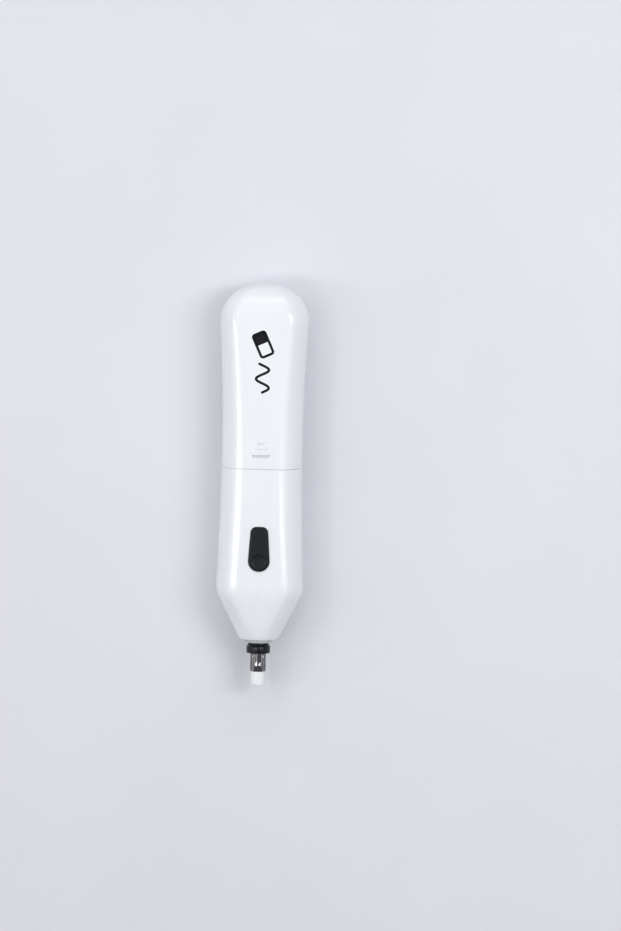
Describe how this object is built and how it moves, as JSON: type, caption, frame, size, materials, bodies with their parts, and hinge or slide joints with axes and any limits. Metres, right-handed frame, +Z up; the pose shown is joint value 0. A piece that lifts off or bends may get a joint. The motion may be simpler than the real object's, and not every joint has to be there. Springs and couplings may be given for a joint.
{
  "type": "electric eraser",
  "caption": "Pen-shaped battery eraser with a flat front and back, cone nose, press switch, sliding battery cover and a turning split chuck that holds a round eraser.",
  "frame": {"origin": "middle of the bounding box at its base, on the flat back that the eraser lies on", "axes": "+Y along the body from the eraser tip to the rounded cap, +Z up out of the flat front and its switch, +X across the body"},
  "size_m": [0.0276, 0.126, 0.0217],
  "materials": {
    "shell_white": "satin moulded",
    "holder_grey": "matt moulded",
    "switch_black": "glossy moulded",
    "collar_black": "glossy moulded",
    "insulator": "pressed laminate",
    "chuck_chrome": "polished",
    "eraser_white": "matt vinyl",
    "screw_steel": "zinc plated",
    "contact_steel": "nickel plated",
    "motor_steel": "plated",
    "magnet": "sintered",
    "copper": "bright copper",
    "brass": "bright",
    "cell_jacket": "printed film",
    "wire_red": "soft vinyl",
    "wire_white": "soft vinyl",
    "wire_black": "soft vinyl"
  },
  "bodies": {
    "body": {"front_housing": "shell_white", "rear_housing": "shell_white", "nose_ring": "holder_grey", "housing_screws": "screw_steel", "battery_holder": "holder_grey", "battery_1": "cell_jacket", "battery_2": "cell_jacket", "contact_positive": "contact_steel", "contact_negative": "contact_steel", "bridge_contact": "contact_steel", "bridge_spring": "contact_steel", "contact_fixed": "copper", "switch_base": "insulator", "motor_can": "motor_steel", "motor_magnets": "magnet", "motor_end_bell": "holder_grey", "motor_front_bush": "brass", "motor_rear_bush": "brass", "motor_brushes": "copper", "motor_terminals": "brass", "wire_red": "wire_red", "wire_white": "wire_white", "wire_black": "wire_black"},
    "cover": {"battery_cover": "shell_white"},
    "button": {"switch_button": "switch_black"},
    "leaf": {"contact_leaf": "copper"},
    "spindle": {"motor_shaft": "motor_steel", "armature_core": "motor_steel", "armature_windings": "copper", "commutator": "copper", "chuck_hub": "collar_black", "collet": "chuck_chrome"},
    "eraser": {"eraser_stick": "eraser_white"}
  },
  "joints": [
    {"name": "cover_slide", "type": "slide", "parent": "body", "child": "cover", "axis": [0, 1, 0], "range_m": [0, 0.06]},
    {"name": "button_press", "type": "hinge", "parent": "body", "child": "button", "pos_m": [0, -0.01045, 0.0185], "axis": [1, 0, 0], "range_deg": [0, 3.8], "stiffness_Nm_per_rad": 0.02, "springref_deg": -1.15},
    {"name": "leaf_flex", "type": "hinge", "parent": "body", "child": "leaf", "pos_m": [0, -0.00845, 0.01785], "axis": [1, 0, 0], "range_deg": [0, 3.3], "stiffness_Nm_per_rad": 0.004},
    {"name": "spindle_spin", "type": "hinge", "parent": "body", "child": "spindle", "pos_m": [0, -0.06295, 0.0104], "axis": [0, 1, 0], "continuous": true},
    {"name": "eraser_slide", "type": "slide", "parent": "spindle", "child": "eraser", "axis": [0, -1, 0], "range_m": [-0.0015, 0.022]}
  ],
  "couplings": [
    {"joint": "leaf_flex", "follows": "button_press", "ratio": 0.846}
  ]
}
